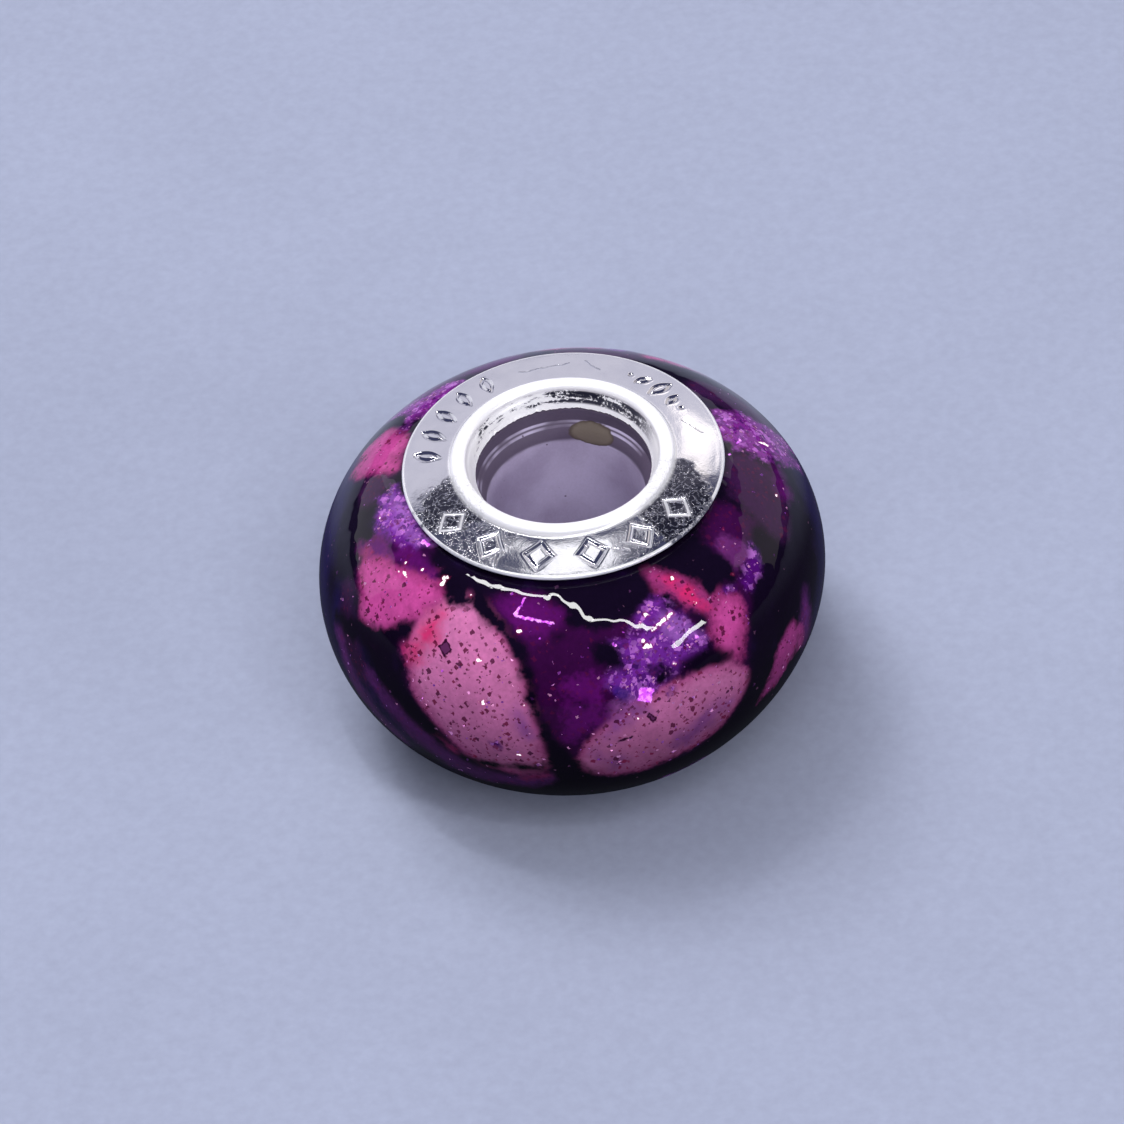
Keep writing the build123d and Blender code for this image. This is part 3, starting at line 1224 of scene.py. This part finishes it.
@dataclass(frozen=True)
class Mark:
    """One engraved mark: where it is on the flange, its shape, half sizes and turn."""

    motif: Motif
    azimuth: float
    radius: float
    half_width: float
    half_length: float
    turn: float = 0.0
    depth: float = 0.04
    stroke: float = 0.055

    def gap(self, across: float, along: float) -> float:
        """Measure to the mark's line.

        Args:
            across: millimetres round the flange from the mark's centre.
            along: millimetres outwards from it.

        Returns:
            Millimetres to the nearest cut line.
        """
        turn = math.radians(self.turn)
        x = across * math.cos(turn) + along * math.sin(turn)
        y = along * math.cos(turn) - across * math.sin(turn)
        wide, long = self.half_width, self.half_length
        if self.motif is Motif.LOZENGE:
            edge = abs(abs(x) / wide + abs(y) / long - 1)
            return edge * wide * long / math.hypot(wide, long)
        if self.motif is Motif.LEAF:
            reach = max(0.0, 1 - (y / long) ** 2)
            return math.hypot(abs(x) - wide * reach, max(0.0, abs(y) - long))
        return math.hypot(max(0.0, abs(x) - wide), max(0.0, abs(y) - long))

    def cut(self, azimuth: float, radius: float) -> float:
        """Work out how deep the mark is at a place.

        Args:
            azimuth: the place's angle, in radians.
            radius: its distance from the bore's axis, in millimetres.

        Returns:
            Depth in millimetres; the raised burr beside the line is negative.
        """
        turn = (azimuth - math.radians(self.azimuth) + math.pi) % (2 * math.pi) - math.pi
        across, along = turn * self.radius, radius - self.radius
        reach = max(self.half_width, self.half_length) + 4 * self.stroke
        if abs(across) > reach or abs(along) > reach:
            return 0.0
        gap = self.gap(across, along) / self.stroke
        groove = max(0.0, 1 - gap * gap) ** 1.5
        burr = max(0.0, 1 - (gap - 1.5) ** 2 / 0.25)
        return self.depth * (groove - 0.16 * burr)


def engraving() -> tuple[Mark, ...]:
    """Lay out the flange's ornament: six lozenges, five leaves, and a sprig between two dots.

    Returns:
        Every mark.
    """
    lozenges = [Mark(Motif.LOZENGE, -148 + 22 * step, 3.74, 0.36, 0.4) for step in range(6)]
    leaves = [Mark(Motif.LEAF, -190 - 12.5 * step, 3.76, 0.13, 0.36, 14.0) for step in range(5)]
    sprig = [
        Mark(Motif.LEAF, 40, 3.74, 0.14, 0.36, 8.0),
        Mark(Motif.LEAF, 31, 3.7, 0.09, 0.22, -18.0),
        Mark(Motif.LEAF, 49, 3.7, 0.09, 0.22, 34.0),
        Mark(Motif.TICK, 24.5, 3.74, 0.02, 0.02),
        Mark(Motif.TICK, 55.5, 3.74, 0.02, 0.02),
    ]
    return tuple(lozenges + leaves + sprig)


class End(Enum):
    """Which end of the bead a cap closes."""

    UPPER = 1
    LOWER = -1


@dataclass
class EndCap:
    """A silver cap: thin domed flange, raised lip, funnel and torn spigot. Millimetres."""

    end: End
    seat_height: float = 3.98
    flange_radius: float = 4.43
    rim_thickness: float = 0.14
    dome_rise: float = 0.22
    dome_bulge: float = 0.03
    lip_inner_radius: float = 2.65
    lip_width: float = 0.42
    lip_rise: float = 0.18
    mouth_radius: float = 2.42
    spigot_wall: float = 0.16
    spigot_length: float = 0.12
    steps_round: int = 900
    dome_steps: int = 44
    tear: float = 0.07
    spigot_thinning: float = 0.021
    engraving_ease: float = 0.1
    cut_gain: float = 60.0

    def _dome(self, share: float) -> tuple[float, float]:
        """A point of the dome, from the rim at 0 to the lip's foot at 1."""
        outer = self.flange_radius - self.rim_thickness / 2
        inner = self.lip_inner_radius + self.lip_width
        bulge = 4 * share * (1 - share) * self.dome_bulge
        height = self.rim_thickness + self.dome_rise * share + bulge
        return outer + (inner - outer) * share, height

    def _outline(self) -> Profile:
        """Outline of the cap above its seat, rim first and seat last."""
        half_rim = self.rim_thickness / 2
        rim_centre = (self.flange_radius - half_rim, half_rim)
        rim = arc(rim_centre, (half_rim, half_rim), -90, 90, 10)
        dome = [self._dome(step / self.dome_steps) for step in range(1, self.dome_steps - 1)]
        foot = self.rim_thickness + self.dome_rise
        half_lip, fullness = self.lip_width / 2, 0.86
        crown = self.lip_inner_radius + half_lip
        lip = [
            (
                crown + half_lip * math.copysign(abs(math.cos(turn)) ** fullness, math.cos(turn)),
                foot + self.lip_rise * math.sin(turn) ** fullness,
            )
            for turn in (math.pi * (0.09 + 0.91 * step / 18) for step in range(19))
        ]
        funnel = [
            (
                self.lip_inner_radius + (self.mouth_radius - self.lip_inner_radius) * share**0.8,
                foot - (foot + self.spigot_length) * share,
            )
            for share in (0.15, 0.3, 0.45, 0.6, 0.75, 0.87, 1.0)
        ]
        spigot = self.mouth_radius + self.spigot_wall
        seat = [(spigot, -self.spigot_length), (spigot, 0.0)]
        under = [
            (spigot + (rim_centre[0] - spigot) * share, 0.0) for share in (0.2, 0.4, 0.6, 0.8)
        ]
        return rim + dome + lip + funnel + seat + under

    def _engrave(self, mesh: bmesh.types.BMesh) -> None:
        """Press the ornament into the dome and let its surface wander a little."""
        marks = engraving()
        cut = mesh.verts.layers.float.new("cut")
        inner = self.lip_inner_radius + self.lip_width + 0.02
        outer = self.flange_radius - self.rim_thickness
        for vert in mesh.verts:
            radius = math.hypot(vert.co.x, vert.co.y)
            if not inner < radius < outer or vert.co.z < self.rim_thickness * 0.9:
                continue
            azimuth = math.atan2(vert.co.y, vert.co.x)
            depth = sum(mark.cut(azimuth, radius) for mark in marks)
            vert[cut] = min(1.0, abs(depth) * self.cut_gain)
            ease = min(1.0, min(radius - inner, outer - radius) / self.engraving_ease)
            wander = noise.noise(vert.co * 0.8) * 0.006 + noise.noise(vert.co * 2.6) * 0.002
            vert.co.z -= (depth + abs(wander)) * ease

    def _tear(self, mesh: bmesh.types.BMesh) -> None:
        """Leave the spigot's end ragged, as it was torn when the cap was pressed."""
        for vert in mesh.verts:
            radius = math.hypot(vert.co.x, vert.co.y)
            depth = -vert.co.z
            if depth < 0.02 or radius > self.mouth_radius + self.spigot_wall + 0.01:
                continue
            azimuth = math.atan2(vert.co.y, vert.co.x)
            around = Vector((math.cos(azimuth), math.sin(azimuth), 0.0))
            jag = abs(noise.noise(around * 16)) + 0.6 * abs(noise.noise(around * 47))
            share = depth / self.spigot_length
            vert.co.z += min(self.tear, self.tear * jag) * share
            if radius > self.mouth_radius + self.spigot_wall / 2:
                thinning = 1 + self.spigot_thinning * share * jag
                vert.co.x /= thinning
                vert.co.y /= thinning

    def build(self, silver: bpy.types.Material) -> bpy.types.Object:
        """Model the cap and dress it.

        Args:
            silver: the finish that both caps share.

        Returns:
            The finished piece.
        """
        mesh = spun(self._outline(), self.steps_round)
        self._engrave(mesh)
        self._tear(mesh)
        lift = Matrix.Translation((0.0, 0.0, self.seat_height))
        bmesh.ops.transform(mesh, matrix=lift, verts=mesh.verts)
        if self.end is End.LOWER:
            turn = Matrix.Rotation(math.pi, 4, "X")
            bmesh.ops.transform(mesh, matrix=turn, verts=mesh.verts)
        piece = settled(mesh, f"{self.end.name.lower()}_silver_cap", 40)
        piece.data.materials.append(silver)
        return piece


def area_lamp(name: str, width: float, height: float) -> bpy.types.Object:
    """Add a rectangular light.

    Args:
        name: its name.
        width: metres along its own X.
        height: metres along its own Y.

    Returns:
        The lamp, with its place and power still to be set.
    """
    light = bpy.data.lights.new(name, "AREA")
    light.shape = "RECTANGLE"
    light.size = width
    light.size_y = height
    return added(name, light)


@dataclass(frozen=True)
class Softbox:
    """A soft light on a sphere about the bead.

    Angles are degrees: azimuth from straight behind, clockwise seen from above, and elevation
    above the floor. Widths are metres, and power is the light's watts.
    """

    name: str
    azimuth: float
    elevation: float
    width: float
    height: float
    power: float
    colour: Colour = (1.0, 1.0, 1.0)
    in_reflections: bool = True
    distance: float = 0.3

    def place(self) -> None:
        """Set the light up, facing the bead."""
        lamp = area_lamp(self.name, self.width, self.height)
        lamp.data.energy = self.power
        lamp.data.color = self.colour
        turn, lift = math.radians(self.azimuth), math.radians(self.elevation)
        out = Vector(
            (math.sin(turn) * math.cos(lift), math.cos(turn) * math.cos(lift), math.sin(lift))
        )
        lamp.location = MIDDLE + out * self.distance
        lamp.rotation_euler = out.to_track_quat("Z", "Y").to_euler()
        lamp.visible_glossy = self.in_reflections


@dataclass
class Studio:
    """Floor, lights and camera."""

    camera_distance: float = 0.19
    elevation: float = 44.8
    roll: float = 5.8
    frame_pixels: float = 1124.0
    pixels_per_mm: float = 36.0
    bead_right_of_centre: float = 11.6
    bead_below_centre: float = 7.0
    sensor: float = 36.0
    strip_glare: float = 28.0
    strip_distance: float = 0.28
    room: Colour = (0.042, 0.046, 0.1)

    def floor(self) -> None:
        """Lay the floor."""
        mesh = bmesh.new()
        bmesh.ops.create_grid(mesh, x_segments=8, y_segments=8, size=1.5)
        data = bpy.data.meshes.new("floor")
        mesh.to_mesh(data)
        mesh.free()
        floor = added("floor", data)
        floor.data.materials.append(PaleCard().material())

    def lights(self) -> None:
        """Set up the softboxes and the dim room."""
        boxes = (
            Softbox("back_card", -2, 30.5, 0.36, 0.19, 0.125, (0.92, 0.91, 1.0)),
            Softbox("warm_card", 20, 40, 0.055, 0.07, 0.009, (1.0, 0.92, 0.8)),
            Softbox("top_card", 0, 67, 0.07, 0.085, 0.021),
            Softbox("right_card", 58, 20, 0.28, 0.17, 0.08, (1.0, 0.93, 0.86)),
            Softbox("left_card", -56, 18, 0.24, 0.15, 0.08, (0.95, 0.96, 1.0)),
            Softbox("key", -38, 60, 0.14, 0.14, 0.5, (1.0, 1.0, 1.0), False),
            Softbox("front_fill", 178, 52, 0.26, 0.2, 0.42, (1.0, 1.0, 1.0), False),
        )
        for box in boxes:
            box.place()
        tube = (
            Vector((-0.34, 0.28, 0.9)),
            Vector((-0.3, 0.17, 0.94)),
            Vector((-0.1, 0.03, 0.99)),
            Vector((0.05, -0.4, 0.92)),
            Vector((0.27, -0.45, 0.85)),
            Vector((0.46, -0.58, 0.67)),
        )
        widths = (0.012, 0.012, 0.008, 0.01, 0.011)
        for start, end, width in zip(tube, tube[1:], widths):
            self._strip(start, end, width)
        self._strip(Vector((0.62, -0.69, 0.37)), Vector((0.8, -0.44, 0.42)), 0.018)
        world = bpy.data.worlds.new("room")
        world.use_nodes = True
        bench = Bench(world.node_tree)
        shade = bench.node("ShaderNodeBackground", None, {"Color": (*self.room, 1.0)})
        bench.node("ShaderNodeOutputWorld", None, {"Surface": shade})
        bpy.context.scene.world = world

    def _strip(self, start: Vector, end: Vector, width: float) -> None:
        """Hang a long thin light between two directions from the bead.

        Args:
            start: direction of one end.
            end: direction of the other.
            width: metres across the strip.
        """
        first = MIDDLE + start.normalized() * self.strip_distance
        last = MIDDLE + end.normalized() * self.strip_distance
        lamp = area_lamp("strip", (last - first).length, width)
        lamp.data.energy = self.strip_glare * math.pi * lamp.data.size * width
        centre = (first + last) / 2
        out = (centre - MIDDLE).normalized()
        along = (last - first).normalized()
        out = (out - along * out.dot(along)).normalized()
        side = out.cross(along)
        turn = Matrix((along, side, out)).transposed().to_4x4()
        lamp.matrix_world = Matrix.Translation(centre) @ turn

    def camera(self) -> None:
        """Aim the camera down at the bead at the photograph's angle."""
        lift, roll = math.radians(self.elevation), math.radians(self.roll)
        level = Vector((1.0, 0.0, 0.0))
        ahead = Vector((0.0, math.cos(lift), -math.sin(lift)))
        upright = level.cross(ahead)
        right = level * math.cos(roll) - upright * math.sin(roll)
        up = level * math.sin(roll) + upright * math.cos(roll)
        step = MM / self.pixels_per_mm
        aim = MIDDLE - right * self.bead_right_of_centre * step + up * self.bead_below_centre * step
        data = bpy.data.cameras.new("camera")
        data.sensor_width = self.sensor
        data.sensor_fit = "HORIZONTAL"
        view_width = self.frame_pixels * step
        data.lens = self.sensor * self.camera_distance / view_width
        data.clip_start = 0.005
        data.clip_end = 20.0
        camera = added("camera", data)
        turn = Matrix((right, up, -ahead)).transposed().to_4x4()
        camera.matrix_world = Matrix.Translation(aim - ahead * self.camera_distance) @ turn
        bpy.context.scene.camera = camera

    def build(self) -> None:
        """Set the whole stage."""
        self.floor()
        self.lights()
        self.camera()
        bpy.context.scene.view_settings.view_transform = "Standard"


def fit(piece: bpy.types.Object, node: str) -> None:
    """Let a dressed piece stand for its CAD node and report it.

    Args:
        piece: the dressed piece.
        node: the CAD node that it replaces.
    """
    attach(piece, "root")
    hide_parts(node)
    LOG.info("%s: %d faces, stands for %s", piece.name, len(piece.data.polygons), node)


def main() -> None:
    """Build the bead from its glass outwards, then the stage."""
    logging.basicConfig(level=logging.INFO, format="%(name)s %(message)s")
    fit(GlassBody().build(), "glass_body")
    silver = PolishedSilver().material()
    for end in End:
        fit(EndCap(end).build(silver), f"{end.name.lower()}_end_cap")
    Studio().build()


if __name__ == "__main__":
    main()
